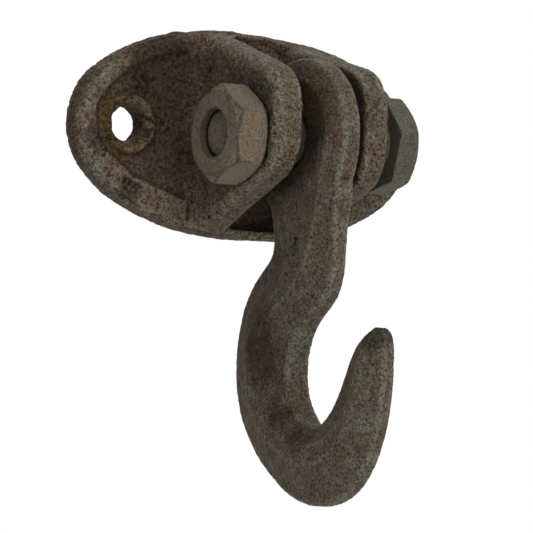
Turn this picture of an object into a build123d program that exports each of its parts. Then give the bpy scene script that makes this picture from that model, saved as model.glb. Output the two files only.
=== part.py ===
"""Swinging meat hook: a cast-iron wall bracket with two ears, a hook that swings between them
on an M12 hexagon bolt, and the bolt's nut. Millimetres.

Frame: origin on the bracket's flat back, halfway between its two screw holes.
+Z is up, -Y points out of the wall, and X runs along the bolt.
Each piece of the assembly is one solid, written to parts/ under its own name.
"""

from build123d import *
from math import copysign, cos, hypot, pi, radians, sin, tan
import os

# Wall plate: an oval, flat at the back, with a shallow dish in its front.
PLATE_A, PLATE_B = 42.9, 22.7          # half length and half height
PLATE_FULL = 2.12                      # power of the oval's formula; 2 is an ellipse, more is fuller
PLATE_Z = -0.7                         # the oval's middle is a little below the screw holes
PLATE_TWIST = -1.2                     # degrees that the oval is cast out of square
PLATE_T = 6.0                          # thickness at the rim
RIM_ROUND = 2.2                        # rounding of the rim's front edge
DISH_A, DISH_B = 38.9, 18.4            # half length and half height at the top of its slope
DISH_Z = 0.5
DISH_DEPTH = 0.9
DISH_SLOPE = 50                        # degrees that the dish's side leans outward

# Screw holes, one at each end, each countersunk in a low raised boss.
HOLE_X = 30.3
HOLE_R = 3.9
BOSS_R = 6.4
BOSS_TOP = 6.5                         # height of the boss's face above the wall
BOSS_ROUND = 0.6
SINK_R, SINK_DEPTH = 5.4, 1.4

# Ears: two cheeks, a little unlike each other, as rough castings are.
EAR_MID = 2.0                          # x halfway between the ears, beside the plate's middle
EAR_IN, EAR_OUT = 7.8, 14.6            # inner and outer faces, from halfway between the ears
LEFT_NOSE = [(-26.8, 3.7, 10.2), (-26.9, -2.3, 10.1)]   # y, z and radius of the nose's two rounds
RIGHT_NOSE = [(-26.9, 4.1, 10.0), (-26.6, -3.8, 10.3)]
LEFT_ROOT = (-24.4, 22.4)              # z of the lower and upper edge where the ear leaves the wall
RIGHT_ROOT = (-24.4, 20.5)
EAR_ROUND = 2.4                        # rounding of the outer edge
EAR_BREAK = 1.1                        # rounding of the inner edge
HOLLOW_REACH = 5.5                     # radius of the hollow from the plate up to the outer face
HOLLOW_FOOT = DISH_DEPTH - PLATE_T     # y where the hollow starts, on the floor of the dish
HOLLOW_TOP = HOLLOW_FOOT - HOLLOW_REACH
EAR_CLIP = 0.5                         # the ears stay this far inside the plate's outline
EAR_LIMIT = -60                        # y further out than any ear reaches
EAR_FOOT = -1.5                        # y of the ears' feet, buried in the plate

# Pocket between the ears, behind the eye of the hook.
POCKET_FLOOR = 2.8                     # thickness left against the wall
POCKET_LOW, POCKET_TOP = -21.4, 20.5
POCKET_CORNER = 2.5
POCKET_FOOT = 2.2                      # hollow curve between its floor and its walls

# Bolt and nut: M12 hexagon hardware with a fine thread, 19 mm across the flats.
BOLT_Y, BOLT_Z = -24.8, -2.3
BOLT_R = 6.0
THREAD_ROOT_R, THREAD_PITCH = 5.4, 1.0
THREAD_TURNS = 27
BOLT_END = -21.3                       # the bolt stops a little inside the nut
BOLT_END_CHAMFER = 1.15
HEX_AF = 19.0
HEX_CHAMFER = 30                       # degrees between the chamfer cone and the end face
HEX_FACE_R = 0.94 * HEX_AF / 2         # where the chamfer cone meets the end face
HEAD_IN, HEAD_OUT = 18.4, 23.9         # bearing face and outer face, from between the ears
NUT_IN, NUT_OUT = -14.7, -22.8
HEAD_TURN, NUT_TURN = -12.8, -24.2     # degrees from straight out to the nearest corner
NUT_BORE_R = 6.05
NUT_SINK = 0.7                         # countersink at its bearing face
NUT_MOUTH_R, NUT_MOUTH = 5.2, 1.6      # the last turn of thread is pinched in to lock the bolt
BOLT_HOLE_R = 6.7

# Hook: an eye on the bolt, and a bar of flattened diamond section bent into a J.
# Its outline is measured from the bolt's axis.
HOOK_X = 0.6                           # it hangs a little towards the bolt's head
EYE_Y, EYE_Z = -0.6, -0.2
EYE_RY, EYE_RZ = 17.9, 17.7
EYE_T = 7.8
EYE_BEVEL, EYE_SLOPE = 1.9, 4.5          # each cheek falls away by 1.9 over its outermost 4.5
EYE_HOLE_R = 6.4
# Down the bar: back edge (y, z), mouth edge (y, z), thickness at the back, crest and mouth,
# and the crest's start and end as shares of the width from the back edge.
BAR = [
    ((8.0, -5.0), (-17.1, -5.5), (7.4, 7.6, 4.0), (0.20, 0.83)),
    ((9.0, -10.0), (-16.3, -11.0), (7.2, 7.7, 4.0), (0.24, 0.82)),
    ((8.9, -15.0), (-15.8, -15.5), (5.2, 7.9, 3.8), (0.34, 0.81)),
    ((8.8, -19.5), (-15.3, -20.0), (3.6, 8.3, 3.4), (0.44, 0.78)),
    ((9.3, -24.0), (-15.2, -25.5), (3.0, 8.9, 3.1), (0.50, 0.72)),
    ((13.5, -28.1), (-14.0, -31.7), (2.8, 9.2, 3.1), (0.52, 0.66)),
    ((18.9, -33.6), (-10.1, -36.0), (2.8, 9.6, 3.5), (0.46, 0.62)),
    ((22.0, -40.5), (-3.0, -41.5), (2.8, 10.0, 4.5), (0.41, 0.56)),
    ((23.0, -49.0), (0.3, -49.0), (2.8, 10.2, 5.6), (0.42, 0.53)),
    ((21.3, -57.5), (-0.5, -54.5), (2.8, 10.4, 5.6), (0.43, 0.54)),
    ((15.6, -65.8), (-3.3, -58.5), (2.8, 10.4, 5.2), (0.46, 0.58)),
    ((6.4, -73.2), (-6.4, -61.1), (2.8, 10.4, 4.6), (0.51, 0.72)),
    ((-4.7, -78.1), (-9.6, -62.2), (2.8, 10.4, 4.0), (0.53, 0.78)),
    ((-16.6, -78.4), (-12.8, -61.3), (2.8, 10.2, 3.6), (0.51, 0.73)),
    ((-26.4, -73.5), (-16.1, -58.6), (2.8, 10.0, 3.2), (0.45, 0.62)),
    ((-32.6, -64.4), (-18.6, -55.0), (2.6, 9.4, 3.0), (0.39, 0.51)),
    ((-35.0, -54.9), (-21.2, -50.0), (2.6, 8.6, 2.8), (0.37, 0.51)),
    ((-35.4, -47.3), (-24.4, -45.2), (2.6, 7.4, 2.6), (0.38, 0.52)),
    ((-34.6, -42.9), (-28.3, -42.3), (2.4, 5.2, 2.4), (0.38, 0.56)),
    ((-32.9, -41.1), (-30.9, -41.0), (1.4, 2.6, 1.4), (0.35, 0.60)),
]

OVAL_POINTS = 24                       # points that the plate's oval is drawn through
TOL = 0.01                             # for telling edges apart by their place
OUT = "parts"


def side_plane(x):
    """A sketch plane at that x whose own axes are the assembly's Y and Z."""
    return Plane(origin=(x, 0, 0), x_dir=(0, 1, 0), z_dir=(1, 0, 0))


def front_plane(height):
    """A sketch plane that far out of the wall, X to the right and Z up, facing outward."""
    return Plane(origin=(0, -height, 0), x_dir=(1, 0, 0), z_dir=(0, -1, 0))


def bolt_plane(x):
    """The sketch plane centred on the bolt's axis, that far from halfway between the ears."""
    return side_plane(EAR_MID + x) * Pos(BOLT_Y, BOLT_Z)


def along_bolt(radius, x_from, x_to):
    """A cylinder on the bolt's axis."""
    return extrude(bolt_plane(x_from) * Circle(radius), x_to - x_from)


def plate_outline(inset=0):
    """The plate's oval, a little fuller at its shoulders than an ellipse."""
    points = []
    for i in range(OVAL_POINTS):
        turn = 2 * pi * i / OVAL_POINTS
        along = abs(cos(turn)) ** (2 / PLATE_FULL) * (PLATE_A - inset)
        up = abs(sin(turn)) ** (2 / PLATE_FULL) * (PLATE_B - inset)
        points.append((copysign(along, cos(turn)), copysign(up, sin(turn))))
    return Pos(0, PLATE_Z) * Rot(0, 0, PLATE_TWIST) * make_face(Spline(*points, periodic=True))


def plate():
    blank = extrude(front_plane(0) * plate_outline(), PLATE_T)
    blank = fillet(blank.edges().sort_by(Axis.Y)[0], RIM_ROUND)
    slope = DISH_DEPTH * tan(radians(DISH_SLOPE))
    floor = Pos(0, DISH_Z) * Rot(0, 0, PLATE_TWIST) * Ellipse(DISH_A - slope, DISH_B - slope)
    dish = extrude(front_plane(PLATE_T - DISH_DEPTH) * floor, 2 * DISH_DEPTH, taper=-DISH_SLOPE)
    return blank - dish


def boss(x):
    """The raised ring round a screw hole."""
    foot = PLATE_T - 2 * DISH_DEPTH
    ring = extrude(front_plane(foot) * Pos(x, 0) * Circle(BOSS_R), BOSS_TOP - foot)
    return fillet(ring.edges().sort_by(Axis.Y)[0], BOSS_ROUND)


def screw_hole(x):
    """The clearance hole with its countersink."""
    over = 1.0
    slope = (SINK_R - HOLE_R) / SINK_DEPTH
    hole = extrude(front_plane(-over) * Pos(x, 0) * Circle(HOLE_R), BOSS_TOP + 2 * over)
    sink = loft([
        front_plane(BOSS_TOP - SINK_DEPTH) * Pos(x, 0) * Circle(HOLE_R),
        front_plane(BOSS_TOP + over) * Pos(x, 0) * Circle(SINK_R + slope * over),
    ])
    return hole + sink


def ear_outline(nose, root):
    """An ear seen from the side: the two rounds of its nose drawn tight to its root on the wall."""
    rounds = [(Pos(y, z) * Circle(r)).edge() for y, z, r in nose]
    foot = Line((EAR_FOOT, root[0]), (EAR_FOOT, root[1]))
    return make_hull([*rounds, foot])


def ear_top_view(side):
    """An ear seen from above, its outer face swept down onto the plate in a hollow curve."""
    inner = EAR_MID + side * EAR_IN
    outer = EAR_MID + side * EAR_OUT
    outside = outer + side * HOLLOW_REACH
    halfway = HOLLOW_REACH * (1 - sin(pi / 4))
    hollow = ThreePointArc((outside, HOLLOW_FOOT), (outer + side * halfway, HOLLOW_FOOT - halfway),
                           (outer, HOLLOW_TOP))
    rest = Polyline((outer, HOLLOW_TOP), (outer, EAR_LIMIT), (inner, EAR_LIMIT), (inner, EAR_FOOT),
                    (outside, EAR_FOOT), (outside, HOLLOW_FOOT))
    return make_face([hollow, *rest.edges()])


def ear(side, nose, root):
    """One cheek with rounded edges. side is 1 for the right one and -1 for the left."""
    top_view = extrude(Plane.XY.offset(-2 * PLATE_B) * ear_top_view(side), 4 * PLATE_B)
    side_view = extrude(side_plane(-PLATE_A) * ear_outline(nose, root), 2 * PLATE_A)
    cheek = top_view & side_view

    outer = EAR_MID + side * EAR_OUT
    outer_edges = [e for e in cheek.edges()
                   if side * (e.center().X - outer) > -TOL and e.center().Y < HOLLOW_FOOT - TOL
                   and abs(e.center().Y - HOLLOW_TOP) > TOL]
    cheek = fillet(outer_edges, EAR_ROUND)

    inner = EAR_MID + side * EAR_IN
    inner_edges = [e for e in cheek.edges()
                   if abs(e.center().X - inner) < TOL and e.center().Y < -PLATE_T]
    return fillet(inner_edges, EAR_BREAK)


def pocket():
    """The room cleared between the ears, its floor curving up into its walls."""
    outline = Pos(EAR_MID, (POCKET_LOW + POCKET_TOP) / 2) * RectangleRounded(
        2 * EAR_IN, POCKET_TOP - POCKET_LOW, POCKET_CORNER)
    room = extrude(front_plane(POCKET_FLOOR) * outline, -EAR_LIMIT)
    floor_edges = room.faces().sort_by(Axis.Y)[-1].edges()
    return fillet(floor_edges, POCKET_FOOT)


def wall_bracket():
    ears = ear(-1, LEFT_NOSE, LEFT_ROOT) + ear(1, RIGHT_NOSE, RIGHT_ROOT)
    front_view = extrude(front_plane(0) * plate_outline(EAR_CLIP), -EAR_LIMIT)
    body = plate() + (ears & front_view)
    for x in (-HOLE_X, HOLE_X):
        body += boss(x)
    body -= pocket()
    body -= along_bolt(BOLT_HOLE_R, -EAR_OUT - 5, EAR_OUT + 5)
    for x in (-HOLE_X, HOLE_X):
        body -= screw_hole(x)
    return body


def hexagon(x_from, x_to, turn):
    """A hexagon prism on the bolt's axis with one corner at that angle from straight out."""
    shape = Rot(0, 0, 180 + turn) * RegularPolygon(HEX_AF / 2, 6, major_radius=False)
    start = min(x_from, x_to)
    return extrude(bolt_plane(start) * shape, abs(x_to - x_from))


def chamfer_cone(x_face, outward):
    """What is left inside the cone that bevels a hexagon's corners at an end face."""
    reach = HEX_AF
    drop = reach * tan(radians(HEX_CHAMFER))
    return loft([
        bolt_plane(x_face) * Circle(HEX_FACE_R),
        bolt_plane(x_face - outward * drop) * Circle(HEX_FACE_R + reach),
    ])


def hex_nut():
    body = hexagon(NUT_IN, NUT_OUT, NUT_TURN)
    body &= chamfer_cone(NUT_OUT, -1)
    body &= chamfer_cone(NUT_IN, 1)
    body -= along_bolt(NUT_BORE_R, NUT_OUT + NUT_MOUTH, NUT_IN + 1)
    body -= along_bolt(NUT_MOUTH_R, NUT_OUT - 1, NUT_OUT + NUT_MOUTH)
    body -= loft([
        bolt_plane(NUT_IN - NUT_SINK) * Circle(NUT_BORE_R),
        bolt_plane(NUT_IN + NUT_SINK) * Circle(NUT_BORE_R + 2 * NUT_SINK),
    ])
    return body


def pivot_bolt():
    """The bolt, its thread drawn as plain rings."""
    half = THREAD_PITCH / 2
    end_r = BOLT_R - BOLT_END_CHAMFER
    outline = [(BOLT_END, 0), (BOLT_END, end_r), (BOLT_END + BOLT_END_CHAMFER, BOLT_R)]
    x = BOLT_END + BOLT_END_CHAMFER
    for _ in range(THREAD_TURNS):
        outline += [(x + half, THREAD_ROOT_R), (x + 2 * half, BOLT_R)]
        x += THREAD_PITCH
    outline += [(HEAD_IN + 1, BOLT_R), (HEAD_IN + 1, 0)]
    profile = make_face(Polyline(*outline, close=True))
    shank = Pos(EAR_MID, BOLT_Y, BOLT_Z) * revolve(profile, Axis.X)
    head = hexagon(HEAD_IN, HEAD_OUT, HEAD_TURN) & chamfer_cone(HEAD_OUT, 1)
    return shank + head


def bar_section(back, mouth, thickness, crest):
    """One cross-section of the hook's bar: narrow lands at its two edges and a crest between them."""
    along = (mouth[0] - back[0], mouth[1] - back[1])
    width = hypot(*along)
    t_back, t_crest, t_mouth = thickness
    half = [
        (0, t_back / 2),
        (crest[0] * width, t_crest / 2),
        (crest[1] * width, t_crest / 2),
        (width, t_mouth / 2),
    ]
    other_half = [(x, -y) for x, y in reversed(half)]
    plane = Plane(origin=(EAR_MID + HOOK_X, BOLT_Y + back[0], BOLT_Z + back[1]),
                  x_dir=(0, along[0], along[1]), z_dir=(0, -along[1], along[0]))
    return plane * make_face(Polyline(*half, *other_half, close=True))


def eye():
    """The hook's eye: a thick oval disc whose two cheeks slope away towards its rim."""
    half = EYE_T / 2
    layers = [(-half, EYE_SLOPE), (EYE_BEVEL - half, 0), (half - EYE_BEVEL, 0), (half, EYE_SLOPE)]
    ovals = []
    for x, inset in layers:
        ovals.append(bolt_plane(HOOK_X + x) * Pos(EYE_Y, EYE_Z) * Ellipse(EYE_RY - inset, EYE_RZ - inset))
    return loft(ovals, ruled=True)


def swing_hook():
    bar = loft([bar_section(*station) for station in BAR])
    return bar + eye() - along_bolt(EYE_HOLE_R, -EAR_IN, EAR_IN)


PIECES = {
    "wall_bracket": wall_bracket,
    "swing_hook": swing_hook,
    "pivot_bolt": pivot_bolt,
    "hex_nut": hex_nut,
}

os.makedirs(OUT, exist_ok=True)
for name, build in PIECES.items():
    piece = build()
    print(name, type(piece).__name__, piece.is_valid, len(piece.solids()), round(piece.volume))
    export_step(piece.solid(), f"{OUT}/{name}.step")
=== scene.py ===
"""Looks for the swinging meat hook: rough cast-iron skins over the CAD bracket and hook, and a
turned bolt and nut with worn corners and a real thread. Metres, in the CAD part's own frame."""

import bmesh
import bpy
import numpy as np
from math import cos, floor, pi, radians, sin, tan
from mathutils import Matrix, Vector, noise


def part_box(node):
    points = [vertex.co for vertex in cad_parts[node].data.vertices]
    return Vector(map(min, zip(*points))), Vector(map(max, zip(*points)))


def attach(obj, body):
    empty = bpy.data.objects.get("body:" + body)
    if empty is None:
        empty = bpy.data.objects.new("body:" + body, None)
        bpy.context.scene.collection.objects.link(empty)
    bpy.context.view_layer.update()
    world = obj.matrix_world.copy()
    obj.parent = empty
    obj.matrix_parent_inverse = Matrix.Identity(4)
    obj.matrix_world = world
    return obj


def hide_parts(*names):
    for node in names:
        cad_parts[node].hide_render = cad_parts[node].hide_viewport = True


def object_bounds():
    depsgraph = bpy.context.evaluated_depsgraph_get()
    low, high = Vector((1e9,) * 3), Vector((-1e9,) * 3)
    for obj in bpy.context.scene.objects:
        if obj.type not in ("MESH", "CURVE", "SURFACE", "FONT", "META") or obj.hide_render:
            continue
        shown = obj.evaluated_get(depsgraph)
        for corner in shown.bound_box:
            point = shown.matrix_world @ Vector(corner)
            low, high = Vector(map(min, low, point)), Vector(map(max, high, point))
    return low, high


MM = 0.001

# Base, warm and pale colour of each kind of iron
BRACKET_COLOURS = (0.080, 0.064, 0.044), (0.076, 0.050, 0.033), (0.128, 0.125, 0.092)
HOOK_COLOURS = (0.072, 0.058, 0.041), (0.069, 0.046, 0.031), (0.122, 0.124, 0.096)
STEEL_COLOURS = (0.092, 0.073, 0.050), (0.098, 0.068, 0.046), (0.112, 0.102, 0.078)
WORN_STEEL = (0.024, 0.025, 0.019)
DARK_GRAIN, LIGHT_GRAIN = (0.12, 0.12, 0.12), (1.9, 1.88, 1.75)    # these multiply the colour below them
PAPER_COLOURS = (0.86, 0.86, 0.85), (0.9, 0.9, 0.89)
WHITE = (1.0, 1.0, 1.0, 1.0)

# Colours of the stains and of painted shade: the dark brown paints shade on the shaded sides of the dish,
# the right ear and the hook's web; the soot black is real soot, and also paints shade on the flank of the
# hook's eye
RUST = (0.060, 0.036, 0.014)
PAINTED_SHADE_BROWN = (0.028, 0.015, 0.009)
POCKET_BROWN = (0.100, 0.072, 0.050)
HEAD_BROWN = (0.054, 0.050, 0.036)
SOOT_AND_PAINTED_SHADE = (0.014, 0.013, 0.010)

# Cast skins
BRACKET_VOXEL = 0.38 * MM
HOOK_VOXEL = 0.34 * MM
WALL_Y = 0.0                           # nothing stands out behind the wall face
LUMP_SIZE, PIT_SIZE, GRAIN_SIZE = 9 * MM, 1.6 * MM, 1.1 * MM
PIT_RARITY = 0.30                      # pits lie only where their noise is above this
GRAIN_LAYER, PIT_LAYER, PATCH_LAYER, SCAR_LAYER = 5, 9, 13, 17    # added to the seed, for noise of its own

# Places where the castings are rougher: middle, radius, depth of the pits, and depth of the whole dent
BRACKET_SCARS = [
    (Vector((-36.5, -5.1, -4.0)) * MM, 4.5 * MM, 0.6 * MM, 0.0),
    (Vector((-29.5, -5.1, -13.0)) * MM, 3.0 * MM, 0.6 * MM, 0.0),
    (Vector((-26.5, -5.1, 9.0)) * MM, 3.8 * MM, 0.6 * MM, 0.0),
    (Vector((-22.5, -5.1, -1.0)) * MM, 4.0 * MM, 0.5 * MM, 0.0),
    (Vector((-12.6, -8.9, 12.8)) * MM, 2.5 * MM, 0.4 * MM, 0.0),
    (Vector((-26.0, -6.5, 0.0)) * MM, 4.0 * MM, 0.5 * MM, 0.0),
    (Vector((-36.0, -6.5, 2.5)) * MM, 4.0 * MM, 0.3 * MM, 0.9 * MM),
    (Vector((-34.5, -6.5, -4.0)) * MM, 3.5 * MM, 0.3 * MM, 0.8 * MM),
    (Vector((-31.0, -6.5, 6.2)) * MM, 2.8 * MM, 0.3 * MM, 0.7 * MM),
    (Vector((-18.4, -4.0, 21.5)) * MM, 3.0 * MM, 0.0, -0.6 * MM),
]
HOOK_SCARS = [
    (Vector((-1.2, -28.6, -24.4)) * MM, 1.3 * MM, 0.6 * MM, 0.1 * MM),
    (Vector((-1.2, -28.8, -27.6)) * MM, 1.3 * MM, 0.6 * MM, 0.1 * MM),
]

# Places in the pocket between the ears where corners are rounded over: middle and radius
BRACKET_SOFT = [
    (Vector((9.0, -4.5, 18.0)) * MM, 8.0 * MM),
    (Vector((1.5, -4.5, 19.0)) * MM, 6.0 * MM),
]
SOFTEN_ROUNDS = 160
SOFTEN_OFF_WALL = 0.5 * MM             # what is nearer the wall than this stays as it is

# Stains and painted shade, with ragged borders: middle, reach, colour and how much of it
BRACKET_STAINS_AND_SHADE = [
    # these two: painted shade, on the dish's upper part under the rim and on the dish beside and under the
    # nut
    (Vector((-22.0, -5.1, 12.0)) * MM, 12 * MM, PAINTED_SHADE_BROWN, 0.85),
    (Vector((-20.0, -5.1, -4.0)) * MM, 10 * MM, PAINTED_SHADE_BROWN, 0.65),
    (Vector((-38.0, -5.1, -3.0)) * MM, 4.0 * MM, SOOT_AND_PAINTED_SHADE, 0.6),
    (Vector((-29.5, -5.1, -14.0)) * MM, 3.5 * MM, SOOT_AND_PAINTED_SHADE, 0.6),
    (Vector((-32.5, -6.0, 0.0)) * MM, 8.0 * MM, RUST, 0.9),
    # next: painted shade on the inner face of the right ear
    (Vector((8.5, -31.5, 3.0)) * MM, 7.5 * MM, PAINTED_SHADE_BROWN, 0.8),
    (Vector((2.0, -3.0, 17.5)) * MM, 8.0 * MM, POCKET_BROWN, 0.8),
]
HOOK_STAINS_AND_SHADE = [
    # these four: painted shade down the hook's web, the side turned away from the light
    (Vector((-6.0, -15.0, -42.0)) * MM, 9.0 * MM, PAINTED_SHADE_BROWN, 0.7),
    (Vector((-6.5, -18.5, -50.0)) * MM, 9.5 * MM, PAINTED_SHADE_BROWN, 0.8),
    (Vector((-6.5, -26.0, -59.5)) * MM, 8.5 * MM, PAINTED_SHADE_BROWN, 0.85),
    (Vector((-5.5, -33.0, -64.5)) * MM, 7.0 * MM, PAINTED_SHADE_BROWN, 0.85),
    (Vector((0.5, -57.5, -43.5)) * MM, 6.0 * MM, SOOT_AND_PAINTED_SHADE, 0.75),
    (Vector((-1.2, -28.8, -26.0)) * MM, 2.0 * MM, SOOT_AND_PAINTED_SHADE, 0.6),
    # next: painted shade on the flank of the hook's eye, in the gap between the ears
    (Vector((-5.5, -33.5, 2.0)) * MM, 10.0 * MM, SOOT_AND_PAINTED_SHADE, 0.85),
    (Vector((-2.0, -36.0, 6.0)) * MM, 9.0 * MM, RUST, 0.5),
]
BOLT_STAINS = [
    (Vector((22.0, -24.8, -2.3)) * MM, 18 * MM, HEAD_BROWN, 0.9),
]

# Dirt in the plate's dish: none at the lip, full at the floor, none on the back of the plate
DISH_LIP_Y, DISH_FLOOR_Y = -5.75 * MM, -5.35 * MM
DISH_WANDER = 0.5 * MM                 # how much the depth that the dirt reaches varies
FRONT_Y, BACK_Y = -1.2 * MM, -0.4 * MM

# Bolt and nut
RING_STEPS = 192                       # points round a turned piece
STEP = 0.24 * MM                       # spacing of its rings
HEX_AF = 19 * MM
HEX_FACE_R = 0.94 * HEX_AF / 2         # the chamfer cone starts here on an end face
CHAMFER_SLOPE = tan(radians(30))
CORNER_WEAR = 0.20 * MM                # rounding of the corners between the flats
CHAMFER_WEAR = 0.09 * MM               # rounding where the chamfer cone meets the flats
HEAD_TURN, NUT_TURN = radians(12.8), radians(24.2)
BOLT_R, BOLT_END_R = 6.0 * MM, 4.85 * MM
THREAD_DEPTH, THREAD_PITCH = 0.6 * MM, 1.0 * MM
THREAD_LENGTH, THREAD_STEP = 27.0 * MM, THREAD_PITCH / 8
HEAD_THICK = 5.5 * MM
NUT_BORE_R, NUT_MOUTH_R = 6.05 * MM, 5.2 * MM
NUT_MOUTH, NUT_SINK = 1.6 * MM, 0.7 * MM

# Studio
CAMERA_AZ, CAMERA_EL, CAMERA_ROLL = radians(-32.3), radians(-3.0), radians(-1.87)
CAMERA_DISTANCE = 1.3209
CAMERA_AIM = (7.931 * MM, -28.776 * MM)     # to the right of the origin and above it, as the camera sees it
LENS_PER_WIDTH = 6037 / 533                 # focal length over the picture's width
SENSOR_WIDTH = 36
LIGHTS = [                                  # name, where it stands, distance, width and watts
    ("key", (-0.2, -1.0, 0.5), 0.9, 0.6, 7.6),
    ("top", (-0.2, -0.3, 1.0), 0.9, 0.8, 5),
    ("right", (1.0, 0.15, 0.55), 0.9, 0.5, 2),
    ("behind", (0.4, 1.0, 0.75), 1.0, 0.5, 2.5),
]
BACKDROP_LIGHT, ROOM_LIGHT = 0.75, 0.05     # light from behind the object, and from the dark room in front
FALLOFF = 0.6                               # how gradually one becomes the other
FLOOR_Z, FLOOR_SIZE = -0.16, 200
FLOOR_GLOW = 0.16                           # keeps the floor pale far from the lights

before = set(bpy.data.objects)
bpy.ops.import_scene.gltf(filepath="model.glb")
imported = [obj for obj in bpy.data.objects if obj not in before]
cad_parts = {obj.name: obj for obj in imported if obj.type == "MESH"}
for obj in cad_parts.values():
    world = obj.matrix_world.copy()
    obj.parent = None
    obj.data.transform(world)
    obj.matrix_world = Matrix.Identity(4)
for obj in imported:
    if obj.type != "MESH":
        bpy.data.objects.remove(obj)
cad_low, cad_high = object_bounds()


# ---------------------------------------------------------------- mesh surfaces

def vertex_rows(mesh, what):
    """Every vertex's "co" or "normal", as rows of three numbers."""
    rows = np.empty(len(mesh.vertices) * 3)
    mesh.vertices.foreach_get(what, rows)
    return rows.reshape(-1, 3)


def edge_ends(mesh):
    """The first vertex of each edge, the second one, and how many edges meet at each vertex."""
    pairs = np.empty(len(mesh.edges) * 2, dtype=np.int32)
    mesh.edges.foreach_get("vertices", pairs)
    first, second = pairs.reshape(-1, 2).T
    count = len(mesh.vertices)
    shared = np.bincount(first, minlength=count) + np.bincount(second, minlength=count)
    return first, second, shared


def neighbour_mean(values, first, second, shared):
    """The mean of a value over the neighbours of each vertex."""
    count = len(shared)
    return (np.bincount(first, values[second], count) + np.bincount(second, values[first], count)) / shared


def soften(obj, places):
    """Rounds the corners over near each (middle, radius), most at its middle."""
    mesh = obj.data
    at = vertex_rows(mesh, "co")
    ends = edge_ends(mesh)
    weight = np.zeros(len(at))
    for middle, radius in places:
        inside = 1 - np.linalg.norm(at - np.array(middle), axis=1) / radius
        weight = np.maximum(weight, np.clip(2 * inside, 0, 1))
    weight[at[:, 1] > WALL_Y - SOFTEN_OFF_WALL] = 0
    for _ in range(SOFTEN_ROUNDS):
        for axis in range(3):
            column = at[:, axis]
            at[:, axis] = column + 0.5 * weight * (neighbour_mean(column, *ends) - column)
    mesh.vertices.foreach_set("co", at.ravel())
    mesh.update()


def edge_attribute(obj, spread):
    """Keeps how sharply the surface bends as the attribute "edge": above 0 on a ridge and below 0 in a
    groove, in radians per millimetre, averaged over spread rounds of neighbours."""
    mesh = obj.data
    at = vertex_rows(mesh, "co") / MM
    normals = vertex_rows(mesh, "normal")
    first, second, shared = edge_ends(mesh)
    along = at[second] - at[first]
    length = np.maximum((along ** 2).sum(1), 1e-6)
    bend = ((normals[second] - normals[first]) * along).sum(1) / length
    edge = (np.bincount(first, bend, len(at)) + np.bincount(second, bend, len(at))) / shared
    for _ in range(spread):
        edge = 0.5 * edge + 0.5 * neighbour_mean(edge, first, second, shared)
    mesh.attributes.new("edge", "FLOAT", "POINT").data.foreach_set("value", edge.astype(np.float32))


def fractal(point, size, octaves, seed):
    """Smooth noise about -1 to 1 whose largest features are about that size across."""
    shifted = Vector(point) / size + Vector((seed, 2.7 * seed, -1.3 * seed))
    return noise.fractal(shifted, 1.0, 2.1, octaves, noise_basis="PERLIN_ORIGINAL")


def scar_at(point, scars):
    """How deep the pits may be, and how deep the dent is, at that point among the scarred places."""
    pit = dent = 0.0
    for middle, radius, pit_depth, dent_depth in scars:
        inside = 1 - (point - middle).length / radius
        if inside > 0:
            pit = max(pit, pit_depth * min(1.0, 2.5 * inside))
            dent += dent_depth * inside * inside * (3 - 2 * inside)
    return pit, dent


def roughen(obj, lumps, grain, pits, seed, scars=()):
    """Moves every vertex along its normal: broad lumps, sandy grain, and scattered pits, in metres.
    How far each one went, apart from the lumps, is kept as the attribute "relief", in millimetres."""
    mesh = obj.data
    relief = mesh.attributes.new("relief", "FLOAT", "POINT")
    moved = []
    for v in mesh.vertices:
        p = v.co
        fine = grain * fractal(p, GRAIN_SIZE, 3, seed + GRAIN_LAYER)
        hollow = fractal(p, PIT_SIZE, 3, seed + PIT_LAYER) - PIT_RARITY
        patch = fractal(p, LUMP_SIZE, 2, seed + PATCH_LAYER)
        if hollow > 0 and patch > 0:
            fine -= pits * min(1.0, 3 * hollow) * min(1.0, 4 * patch)
        pit, dent = scar_at(p, scars)
        if pit > 0:
            fine -= pit * max(0.0, fractal(p, GRAIN_SIZE, 3, seed + SCAR_LAYER) + 0.15)
        broad = lumps * fractal(p, LUMP_SIZE, 2, seed) - dent
        relief.data[v.index].value = fine / MM
        moved.append(p + v.normal * (broad + fine))
    for v, place in zip(mesh.vertices, moved):
        place.y = min(place.y, WALL_Y)
        v.co = place


def shade_smooth(obj):
    for polygon in obj.data.polygons:
        polygon.use_smooth = True


# ---------------------------------------------------------------- cast pieces

def cast_skin(node, voxel, smoothing, soft=()):
    """A dense copy of a CAD node with softened edges, still smooth, with its "edge" attribute."""
    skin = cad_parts[node].copy()
    skin.data = skin.data.copy()
    skin.name = node + "_cast"
    bpy.context.scene.collection.objects.link(skin)

    remesh = skin.modifiers.new("remesh", "REMESH")
    remesh.mode = "VOXEL"
    remesh.voxel_size = voxel
    smooth = skin.modifiers.new("soften", "SMOOTH")
    smooth.factor = 0.5
    smooth.iterations = smoothing
    depsgraph = bpy.context.evaluated_depsgraph_get()
    dense = bpy.data.meshes.new_from_object(skin.evaluated_get(depsgraph))
    skin.modifiers.clear()
    skin.data = dense
    if soft:
        soften(skin, soft)
    edge_attribute(skin, spread=3)
    return skin


def make_bracket():
    bracket = cast_skin("wall_bracket", BRACKET_VOXEL, smoothing=3, soft=BRACKET_SOFT)
    roughen(bracket, lumps=0.22 * MM, grain=0.13 * MM, pits=0.22 * MM, seed=1.0, scars=BRACKET_SCARS)
    return bracket


def make_hook():
    hook = cast_skin("swing_hook", HOOK_VOXEL, smoothing=2)
    roughen(hook, lumps=0.12 * MM, grain=0.08 * MM, pits=0.15 * MM, seed=2.0, scars=HOOK_SCARS)
    return hook


# ---------------------------------------------------------------- turned pieces

def soft_min(a, b, softness):
    """The smaller of two lengths, with the crossing rounded over about that length."""
    h = max(softness - abs(a - b), 0.0) / softness
    return min(a, b) - h * h * softness / 4


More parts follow.
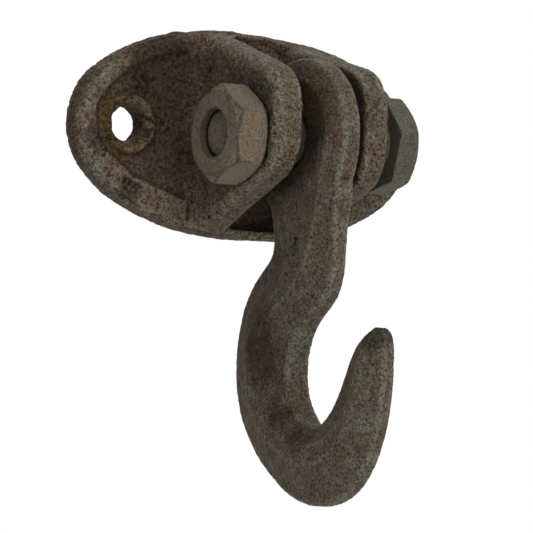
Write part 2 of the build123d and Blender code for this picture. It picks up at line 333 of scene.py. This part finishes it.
def hexagon_r(angle):
    """Distance from the axis to a hexagon's flat at that angle, its corners a little worn."""
    sector = pi / 3
    off = angle - sector * floor(angle / sector + 0.5)
    sharp = HEX_AF / 2 / cos(sector / 2 - abs(off))
    worn = HEX_AF / 2 / cos(sector / 2) - CORNER_WEAR
    return soft_min(sharp, worn, CORNER_WEAR)


def lathe(name, rings, centre, closed):
    """A mesh whose rings are (x, function of the angle that gives the radius).
    Angle 0 points straight out of the wall and turns upward. closed joins the last ring to the first."""
    mesh = bmesh.new()
    rows = []
    for x, radius in rings:
        row = []
        for i in range(RING_STEPS):
            a = 2 * pi * i / RING_STEPS
            r = radius(a)
            row.append(mesh.verts.new((x, centre.y - r * cos(a), centre.z + r * sin(a))))
        rows.append(row)
    pairs = list(zip(rows, rows[1:]))
    if closed:
        pairs.append((rows[-1], rows[0]))
    for low, high in pairs:
        for i in range(RING_STEPS):
            j = (i + 1) % RING_STEPS
            mesh.faces.new((low[i], low[j], high[j], high[i]))
    if not closed:
        for row in (rows[0], rows[-1]):
            mid = mesh.verts.new(sum((v.co for v in row), Vector()) / RING_STEPS)
            for i in range(RING_STEPS):
                mesh.faces.new((row[i], row[(i + 1) % RING_STEPS], mid))
    bmesh.ops.recalc_face_normals(mesh, faces=mesh.faces)
    data = bpy.data.meshes.new(name)
    mesh.to_mesh(data)
    mesh.free()
    obj = bpy.data.objects.new(name, data)
    bpy.context.scene.collection.objects.link(obj)
    return obj


def steps(start, end, step=STEP):
    """Evenly spaced values from start up to, not including, end."""
    count = max(1, round(abs(end - start) / step))
    return [start + (end - start) * i / count for i in range(count)]


def round_ring(r):
    return lambda angle: r


def blend_ring(inner, outer, share):
    return lambda angle: inner(angle) * (1 - share) + outer(angle) * share


def hex_ring(x, turn, *chamfered_faces):
    """The outline of a hexagon at x, cut by the chamfer cone of each chamfered end face."""
    def radius(angle):
        r = hexagon_r(angle - turn)
        for face in chamfered_faces:
            cone = HEX_FACE_R + abs(x - face) / CHAMFER_SLOPE
            r = soft_min(r, cone, CHAMFER_WEAR)
        return r
    return radius


def thread_ring(x):
    """A V thread: one turn of the angle is one pitch along the bolt."""
    def radius(angle):
        place = (x / THREAD_PITCH + angle / (2 * pi)) % 1.0
        return BOLT_R - THREAD_DEPTH * abs(2 * place - 1)
    return radius


def make_bolt():
    low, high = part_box("pivot_bolt")
    centre = (Vector(low) + Vector(high)) / 2
    end, head_out = low[0], high[0]
    head_in = head_out - HEAD_THICK
    chamfer = BOLT_R - BOLT_END_R
    root_r = BOLT_R - THREAD_DEPTH
    rings = [(end, round_ring(r)) for r in steps(STEP, BOLT_END_R)]
    rings += [(end + chamfer * t, round_ring(BOLT_END_R + (root_r - BOLT_END_R) * t)) for t in (0, 0.5)]
    start = end + chamfer
    rings += [(x, thread_ring(x)) for x in steps(start, start + THREAD_LENGTH, THREAD_STEP)]
    rings += [(x, round_ring(BOLT_R)) for x in steps(start + THREAD_LENGTH, head_in)]
    corner = hex_ring(head_in, HEAD_TURN, head_out)
    rings += [(head_in, blend_ring(round_ring(BOLT_R), corner, t)) for t in steps(0, 1, 0.07)]
    rings += [(x, hex_ring(x, HEAD_TURN, head_out)) for x in steps(head_in, head_out)]
    rings += [(head_out, round_ring(r)) for r in steps(HEX_FACE_R, STEP)]
    bolt = lathe("bolt_turned", rings, centre, closed=False)
    edge_attribute(bolt, spread=1)
    roughen(bolt, lumps=0.0, grain=0.03 * MM, pits=0.0, seed=3.0)
    return bolt


def make_nut():
    low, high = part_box("hex_nut")
    centre = (Vector(low) + Vector(high)) / 2
    out, seat = low[0], high[0]
    rings = [(x, hex_ring(x, NUT_TURN, out, seat)) for x in steps(out, seat)]
    rings += [(seat, round_ring(r)) for r in steps(HEX_FACE_R, NUT_BORE_R + NUT_SINK)]
    rings += [(seat - NUT_SINK * t, round_ring(NUT_BORE_R + NUT_SINK * (1 - t))) for t in (0, 0.5)]
    rings += [(x, round_ring(NUT_BORE_R)) for x in steps(seat - NUT_SINK, out + NUT_MOUTH)]
    rings += [(out + NUT_MOUTH, round_ring(r)) for r in steps(NUT_BORE_R, NUT_MOUTH_R)]
    rings += [(x, round_ring(NUT_MOUTH_R)) for x in steps(out + NUT_MOUTH, out)]
    rings += [(out, round_ring(r)) for r in steps(NUT_MOUTH_R, HEX_FACE_R)]
    nut = lathe("nut_turned", rings, centre, closed=True)
    edge_attribute(nut, spread=1)
    roughen(nut, lumps=0.04 * MM, grain=0.03 * MM, pits=0.05 * MM, seed=4.0)
    return nut


# ---------------------------------------------------------------- materials

class Nodes:
    """Short names for building a node material. shift moves its noise away from the other materials'."""

    def __init__(self, name, shift=0.0):
        self.shift = shift
        self.material = bpy.data.materials.new(name)
        self.material.use_nodes = True
        self.tree = self.material.node_tree
        self.shader = self.tree.nodes["Principled BSDF"]
        self.place = self.add("ShaderNodeTexCoord").outputs["Object"]

    def add(self, kind, **settings):
        node = self.tree.nodes.new(kind)
        for key, value in settings.items():
            setattr(node, key, value)
        return node

    def link(self, a, b):
        self.tree.links.new(a, b)

    def connect(self, value, socket):
        """Links an output to the socket, or sets the socket to a colour or a number."""
        if isinstance(value, bpy.types.NodeSocket):
            self.link(value, socket)
        elif isinstance(value, tuple):
            socket.default_value = (*value, 1.0)
        else:
            socket.default_value = value

    def attribute(self, name):
        return self.add("ShaderNodeAttribute", attribute_name=name).outputs["Fac"]

    def noise(self, size, layer, detail=3.0, rough=0.55):
        """Noise from 0 to 1 with features of about that size, in metres. Each layer is noise of its own."""
        shift = self.shift + layer
        move = self.add("ShaderNodeVectorMath", operation="ADD")
        move.inputs[1].default_value = (shift, shift * 0.7, -shift * 1.1)
        self.link(self.place, move.inputs[0])
        node = self.add("ShaderNodeTexNoise")
        node.inputs["Scale"].default_value = 1 / size
        node.inputs["Detail"].default_value = detail
        node.inputs["Roughness"].default_value = rough
        self.link(move.outputs[0], node.inputs["Vector"])
        return node.outputs["Fac"]

    def remap(self, value, low, high, out_low=0.0, out_high=1.0):
        """out_low where the value is low, out_high where it is high, and evenly from one to the other."""
        node = self.add("ShaderNodeMapRange")
        node.inputs["From Min"].default_value = low
        node.inputs["From Max"].default_value = high
        node.inputs["To Min"].default_value = out_low
        node.inputs["To Max"].default_value = out_high
        self.link(value, node.inputs["Value"])
        return node.outputs["Result"]

    def mix(self, factor, a, b, mode="MIX"):
        node = self.add("ShaderNodeMix", data_type="RGBA", blend_type=mode)
        self.connect(factor, node.inputs["Factor"])
        self.connect(a, node.inputs["A"])
        self.connect(b, node.inputs["B"])
        return node.outputs["Result"]

    def math(self, operation, a, b):
        node = self.add("ShaderNodeMath", operation=operation)
        self.connect(a, node.inputs[0])
        self.connect(b, node.inputs[1])
        return node.outputs[0]


def darker(colour, share):
    return tuple(share * c for c in colour)


def mottled(n, base, warm, pale):
    """Broad warm patches and smaller pale ones over the base colour."""
    colour = n.mix(n.remap(n.noise(9 * MM, 0.0, 4, 0.6), 0.38, 0.62), base, warm)
    return n.mix(n.remap(n.noise(4 * MM, 0.3, 5, 0.65), 0.50, 0.68, 0.0, 0.5), colour, pale)


def dish_dirt(n, colour, dirt):
    """Dirt in the plate's dish, with an uneven border."""
    place = n.add("ShaderNodeSeparateXYZ")
    n.link(n.place, place.inputs[0])
    wander = n.math("MULTIPLY", n.noise(2.5 * MM, 0.5, 4, 0.6), DISH_WANDER)
    uneven = n.math("ADD", place.outputs["Y"], wander)
    low = n.remap(uneven, DISH_LIP_Y + DISH_WANDER / 2, DISH_FLOOR_Y + DISH_WANDER / 2, 0.0, 0.75)
    in_front = n.remap(place.outputs["Y"], BACK_Y, FRONT_Y)
    return n.mix(n.math("MULTIPLY", low, in_front), colour, dirt)


def worn_edges(n, colour, tint, amount, steady, bend_from, bend_to):
    """The tint on ridges that bend more sharply than bend_from, in tatters where steady is low."""
    tatters = n.remap(n.noise(2.4 * MM, 0.8, 5, 0.75), 0.40, 0.60, steady, 1.3)
    ragged = n.math("MULTIPLY", n.attribute("edge"), tatters)
    return n.mix(n.remap(ragged, bend_from, bend_to, 0.0, amount), colour, tint)


def groove_dirt_and_painted_shade(n, colour, warm):
    """Dirt along grooves, and painted shade: darker where the surface is sheltered by what stands round it,
    in recesses and between parts.
    """
    colour = n.mix(n.remap(n.attribute("edge"), -0.04, -0.25, 0.0, 0.85), colour, darker(warm, 0.35))
    # painted shade, from how much the nearby surfaces hide each point
    occlusion_shade = n.add("ShaderNodeAmbientOcclusion", samples=8)
    occlusion_shade.inputs["Distance"].default_value = 9 * MM
    return n.mix(n.remap(occlusion_shade.outputs["AO"], 0.82, 0.3, 0.0, 0.95), colour, darker(warm, 0.15))


# Stains and painted shade: each a ragged patch of its colour about its middle
def stains_and_painted_shade(n, colour, marks_and_shade):
    border = n.noise(3 * MM, 0.4, 5, 0.7)
    for middle, reach, patch_colour, amount in marks_and_shade:
        away = n.add("ShaderNodeVectorMath", operation="DISTANCE")
        n.link(n.place, away.inputs[0])
        away.inputs[1].default_value = middle
        ragged = n.math("ADD", away.outputs["Value"], n.math("MULTIPLY", border, reach))
        colour = n.mix(n.remap(ragged, 1.5 * reach, 1.1 * reach, 0.0, amount), colour, patch_colour)
    return colour


def grainy(n, colour, base, pale, size, dark, light):
    """Dark pits and pale bumps in the relief, then dark and light grains of that size and strength."""
    relief = n.attribute("relief")
    colour = n.mix(n.remap(relief, -0.06, -0.28, 0.0, 0.9), colour, darker(base, 0.12))
    colour = n.mix(n.remap(relief, 0.05, 0.18, 0.0, 0.35), colour, pale)
    speck = n.noise(size, 0.6, 3, 0.85)
    colour = n.mix(n.remap(speck, 0.52, 0.38, 0.0, dark), colour, DARK_GRAIN, "MULTIPLY")
    return n.mix(n.remap(speck, 0.52, 0.66, 0.0, light), colour, LIGHT_GRAIN, "MULTIPLY")


def sandy(n, gloss, bump):
    """A rough surface whose grains stand out by about that much."""
    n.link(n.remap(n.noise(1.6 * MM, 0.9, 4, 0.6), 0.3, 0.7, 0.60, 0.88), n.shader.inputs["Roughness"])
    n.shader.inputs["Specular IOR Level"].default_value = gloss
    height = n.math("ADD", n.noise(0.36 * MM, 1.2, 3, 0.7), n.noise(0.9 * MM, 1.5, 2, 0.6))
    bumps = n.add("ShaderNodeBump")
    bumps.inputs["Strength"].default_value = 1.0
    bumps.inputs["Distance"].default_value = bump
    n.link(height, bumps.inputs["Height"])
    n.link(bumps.outputs["Normal"], n.shader.inputs["Normal"])


def bracket_iron():
    base, warm, pale = BRACKET_COLOURS
    n = Nodes("cast_iron_bracket", shift=0.0)
    colour = mottled(n, base, warm, pale)
    colour = dish_dirt(n, colour, darker(warm, 0.62))
    colour = worn_edges(n, colour, pale, amount=0.5, steady=0.0, bend_from=0.06, bend_to=0.26)
    colour = groove_dirt_and_painted_shade(n, colour, warm)
    colour = stains_and_painted_shade(n, colour, BRACKET_STAINS_AND_SHADE)
    colour = grainy(n, colour, base, pale, size=0.70 * MM, dark=0.9, light=0.6)
    n.link(colour, n.shader.inputs["Base Color"])
    sandy(n, gloss=0.08, bump=0.25 * MM)
    return n.material


def hook_iron():
    base, warm, pale = HOOK_COLOURS
    n = Nodes("cast_iron_hook", shift=0.2)
    colour = mottled(n, base, warm, pale)
    colour = worn_edges(n, colour, pale, amount=0.45, steady=0.0, bend_from=0.02, bend_to=0.14)
    colour = groove_dirt_and_painted_shade(n, colour, warm)
    colour = stains_and_painted_shade(n, colour, HOOK_STAINS_AND_SHADE)
    colour = grainy(n, colour, base, pale, size=0.60 * MM, dark=0.85, light=0.55)
    n.link(colour, n.shader.inputs["Base Color"])
    sandy(n, gloss=0.08, bump=0.20 * MM)
    return n.material


def coated_steel():
    """The brown coating of the bolt and nut, with dark lines where the edges have lost it."""
    base, warm, pale = STEEL_COLOURS
    n = Nodes("coated_steel", shift=0.4)
    colour = mottled(n, base, warm, pale)
    colour = worn_edges(n, colour, WORN_STEEL, amount=0.8, steady=0.5, bend_from=0.24, bend_to=0.50)
    colour = groove_dirt_and_painted_shade(n, colour, warm)
    colour = stains_and_painted_shade(n, colour, BOLT_STAINS)
    colour = grainy(n, colour, base, pale, size=0.50 * MM, dark=0.6, light=0.4)
    n.link(colour, n.shader.inputs["Base Color"])
    sandy(n, gloss=0.2, bump=0.08 * MM)
    return n.material


def paper():
    n = Nodes("paper")
    dark, light = PAPER_COLOURS
    n.link(n.mix(n.remap(n.noise(20 * MM, 0.0), 0.3, 0.7), dark, light), n.shader.inputs["Base Color"])
    n.shader.inputs["Roughness"].default_value = 0.9
    n.shader.inputs["Emission Color"].default_value = WHITE
    n.shader.inputs["Emission Strength"].default_value = FLOOR_GLOW
    return n.material


# ---------------------------------------------------------------- the object

coated = coated_steel()
for piece, material, body, node in (
    (make_bracket(), bracket_iron(), "bracket", "wall_bracket"),
    (make_hook(), hook_iron(), "hook", "swing_hook"),
    (make_bolt(), coated, "bolt", "pivot_bolt"),
    (make_nut(), coated, "bolt", "hex_nut"),
):
    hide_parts(node)
    shade_smooth(piece)
    piece.data.materials.clear()
    piece.data.materials.append(material)
    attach(piece, body)


# ---------------------------------------------------------------- the studio

def make_camera(right, back, up):
    """A camera at the photograph's angle. It looks against back, with right and up across its view."""
    camera = bpy.data.objects.new("camera", bpy.data.cameras.new("camera"))
    bpy.context.scene.collection.objects.link(camera)
    camera.data.sensor_width = SENSOR_WIDTH
    camera.data.lens = SENSOR_WIDTH * LENS_PER_WIDTH
    camera.data.clip_start, camera.data.clip_end = 0.05, 50
    turn = Matrix((right, up, back)).transposed() @ Matrix.Rotation(-CAMERA_ROLL, 3, "Z")
    stand = back * CAMERA_DISTANCE + right * CAMERA_AIM[0] + up * CAMERA_AIM[1]
    camera.matrix_world = Matrix.Translation(stand) @ turn.to_4x4()
    return camera


def area_light(name, direction, distance, size, power):
    """A soft square light that shines at the middle of the object from that direction."""
    light = bpy.data.objects.new(name, bpy.data.lights.new(name, "AREA"))
    bpy.context.scene.collection.objects.link(light)
    light.data.size = size
    light.data.energy = power
    aim = (cad_low + cad_high) / 2
    away = Vector(direction).normalized()
    light.location = aim + away * distance
    light.rotation_mode = "QUATERNION"
    light.rotation_quaternion = away.to_track_quat("Z", "Y")


def make_world(back):
    """A white backdrop. The light that comes from it falls off towards the dark room in front of the
    object, where back points."""
    world = bpy.data.worlds.new("studio")
    world.use_nodes = True
    nodes, link = world.node_tree.nodes, world.node_tree.links.new
    backdrop = nodes["Background"]
    backdrop.inputs["Color"].default_value = WHITE
    facing = nodes.new("ShaderNodeVectorMath")
    facing.operation = "DOT_PRODUCT"
    facing.inputs[1].default_value = (-back.x, -back.y, 0)
    link(nodes.new("ShaderNodeTexCoord").outputs["Generated"], facing.inputs[0])
    falloff = nodes.new("ShaderNodeMapRange")
    falloff.inputs["From Min"].default_value = -FALLOFF
    falloff.inputs["From Max"].default_value = FALLOFF
    falloff.inputs["To Min"].default_value = ROOM_LIGHT
    falloff.inputs["To Max"].default_value = BACKDROP_LIGHT
    link(facing.outputs["Value"], falloff.inputs["Value"])
    room = nodes.new("ShaderNodeBackground")
    link(falloff.outputs["Result"], room.inputs["Strength"])
    both = nodes.new("ShaderNodeMixShader")
    link(nodes.new("ShaderNodeLightPath").outputs["Is Camera Ray"], both.inputs[0])
    link(room.outputs[0], both.inputs[1])
    link(backdrop.outputs[0], both.inputs[2])
    link(both.outputs[0], nodes["World Output"].inputs["Surface"])
    return world


def make_floor():
    bpy.ops.mesh.primitive_plane_add(size=FLOOR_SIZE, location=(0, 0, FLOOR_Z))
    ground = bpy.context.object
    ground.name = "floor"
    ground.data.materials.append(paper())
    return ground


camera_right = Vector((cos(CAMERA_AZ), sin(CAMERA_AZ), 0))
camera_back = Vector((sin(CAMERA_AZ) * cos(CAMERA_EL), -cos(CAMERA_AZ) * cos(CAMERA_EL), sin(CAMERA_EL)))
camera_up = camera_back.cross(camera_right)
bpy.context.scene.camera = make_camera(camera_right, camera_back, camera_up)
for light in LIGHTS:
    area_light(*light)
bpy.context.scene.world = make_world(camera_back)
make_floor()
bpy.context.scene.view_settings.view_transform = "Standard"
